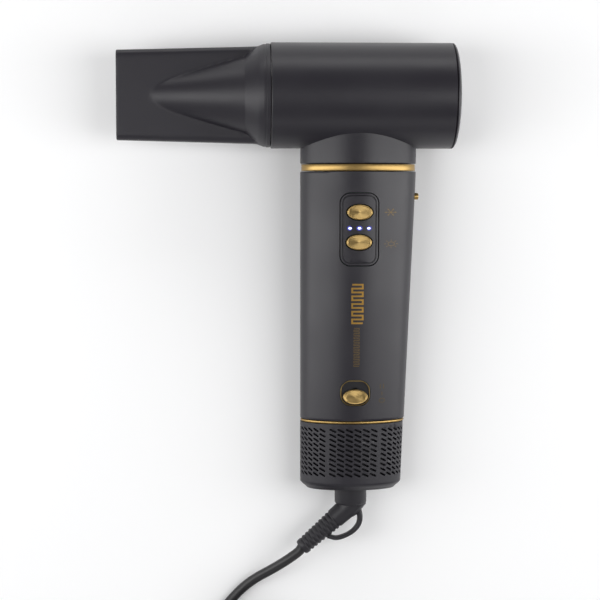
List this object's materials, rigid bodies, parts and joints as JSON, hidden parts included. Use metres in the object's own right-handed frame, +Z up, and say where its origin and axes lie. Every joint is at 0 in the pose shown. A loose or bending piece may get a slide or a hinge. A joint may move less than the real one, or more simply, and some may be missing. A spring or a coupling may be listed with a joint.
{
  "type": "hair dryer",
  "caption": "Hand-held hair dryer with a round barrel, a flat turning nozzle, an oval grip with gold keys and a power slider, a slotted air filter at the foot, and a coiled mains cord.",
  "frame": {"origin": "centre of the bottom of the bounding box of the dryer without its cord, on the surface that it lies on", "axes": "+X along the barrel towards the rear cover, +Y from the foot of the handle towards the barrel, +Z up, out of the control side"},
  "size_m": [0.1706, 0.3759, 0.052],
  "materials": {
    "soft_black": "soft-touch satin",
    "nozzle_black": "fine matt",
    "gold_trim": "gold anodised and polished",
    "rubber_black": "moulded matt",
    "lamp_lens": "lit white lamp",
    "bright_steel": "turned",
    "cast_aluminium": "satin",
    "copper_winding": "enamelled wire",
    "mica_sheet": "flaky sheet",
    "resistance_wire": "drawn",
    "circuit_board": "lacquered",
    "white_moulding": "moulded",
    "magnet_grey": "plated"
  },
  "bodies": {
    "handset": {"barrel_shell": "soft_black", "rear_cover": "soft_black", "outlet_ring": "nozzle_black", "outlet_grille": "nozzle_black", "heater_sleeve": "mica_sheet", "heater_frame": "mica_sheet", "heating_coil": "resistance_wire", "thermal_cutout": "cast_aluminium", "ion_generator": "white_moulding", "neck_ring": "gold_trim", "grip_shell": "soft_black", "foot_ring": "gold_trim", "control_panel": "soft_black", "led_lens_1": "lamp_lens", "led_lens_2": "lamp_lens", "led_lens_3": "lamp_lens", "control_board": "circuit_board", "board_screw_1": "bright_steel", "board_screw_2": "bright_steel", "cool_switch": "white_moulding", "heat_switch": "white_moulding", "slider_bezel": "gold_trim", "slide_switch": "white_moulding", "power_board": "circuit_board", "rear_switch": "white_moulding", "motor_duct": "cast_aluminium", "motor_mount": "rubber_black", "motor_stator": "copper_winding", "upper_bearing": "bright_steel", "lower_bearing": "bright_steel", "swivel_socket": "nozzle_black", "cord": "rubber_black", "cord_coil": "rubber_black", "cord_tie": "rubber_black", "plug_lead": "rubber_black", "plug_body": "rubber_black", "plug_pin_1": "bright_steel", "plug_pin_2": "bright_steel"},
    "nozzle_collar": {"nozzle_magnet": "magnet_grey"},
    "nozzle": {"nozzle_shell": "nozzle_black"},
    "slider": {"power_slider": "gold_trim"},
    "cool_key": {"cool_button": "gold_trim"},
    "heat_key": {"heat_button": "gold_trim"},
    "cool_shot_key": {"rear_button": "gold_trim"},
    "filter": {"filter_cage": "soft_black", "filter_foot": "soft_black", "filter_screen": "bright_steel"},
    "swivel": {"swivel_collar": "rubber_black", "cord_boot": "rubber_black"},
    "fan": {"rotor_shaft": "bright_steel", "impeller": "cast_aluminium"}
  },
  "joints": [
    {"name": "nozzle_pull", "type": "slide", "parent": "handset", "child": "nozzle_collar", "axis": [-1, 0, 0], "range_m": [0, 0.03]},
    {"name": "nozzle_turn", "type": "hinge", "parent": "nozzle_collar", "child": "nozzle", "pos_m": [-0.0078, 0.08477, 0.02602], "axis": [-1, 0, 0], "continuous": true},
    {"name": "power_slide", "type": "slide", "parent": "handset", "child": "slider", "axis": [0, 0.9984, 0.0567], "range_m": [0, 0.0036]},
    {"name": "cool_press", "type": "slide", "parent": "handset", "child": "cool_key", "axis": [0, 0.0567, -0.9984], "range_m": [0, 0.0008], "stiffness_N_per_m": 800},
    {"name": "heat_press", "type": "slide", "parent": "handset", "child": "heat_key", "axis": [0, 0.0567, -0.9984], "range_m": [0, 0.0008], "stiffness_N_per_m": 800},
    {"name": "cool_shot_press", "type": "slide", "parent": "handset", "child": "cool_shot_key", "axis": [-1, 0, 0], "range_m": [0, 0.001], "stiffness_N_per_m": 800},
    {"name": "filter_slide", "type": "slide", "parent": "handset", "child": "filter", "axis": [0, -0.9984, -0.0567], "range_m": [0, 0.008]},
    {"name": "cord_swivel", "type": "hinge", "parent": "handset", "child": "swivel", "pos_m": [0.03255, -0.11491, 0.01468], "axis": [0, 0.9984, 0.0567], "continuous": true},
    {"name": "fan_spin", "type": "hinge", "parent": "handset", "child": "fan", "pos_m": [0.034, -0.02506, 0.01978], "axis": [0, 0.9984, 0.0567], "continuous": true}
  ]
}
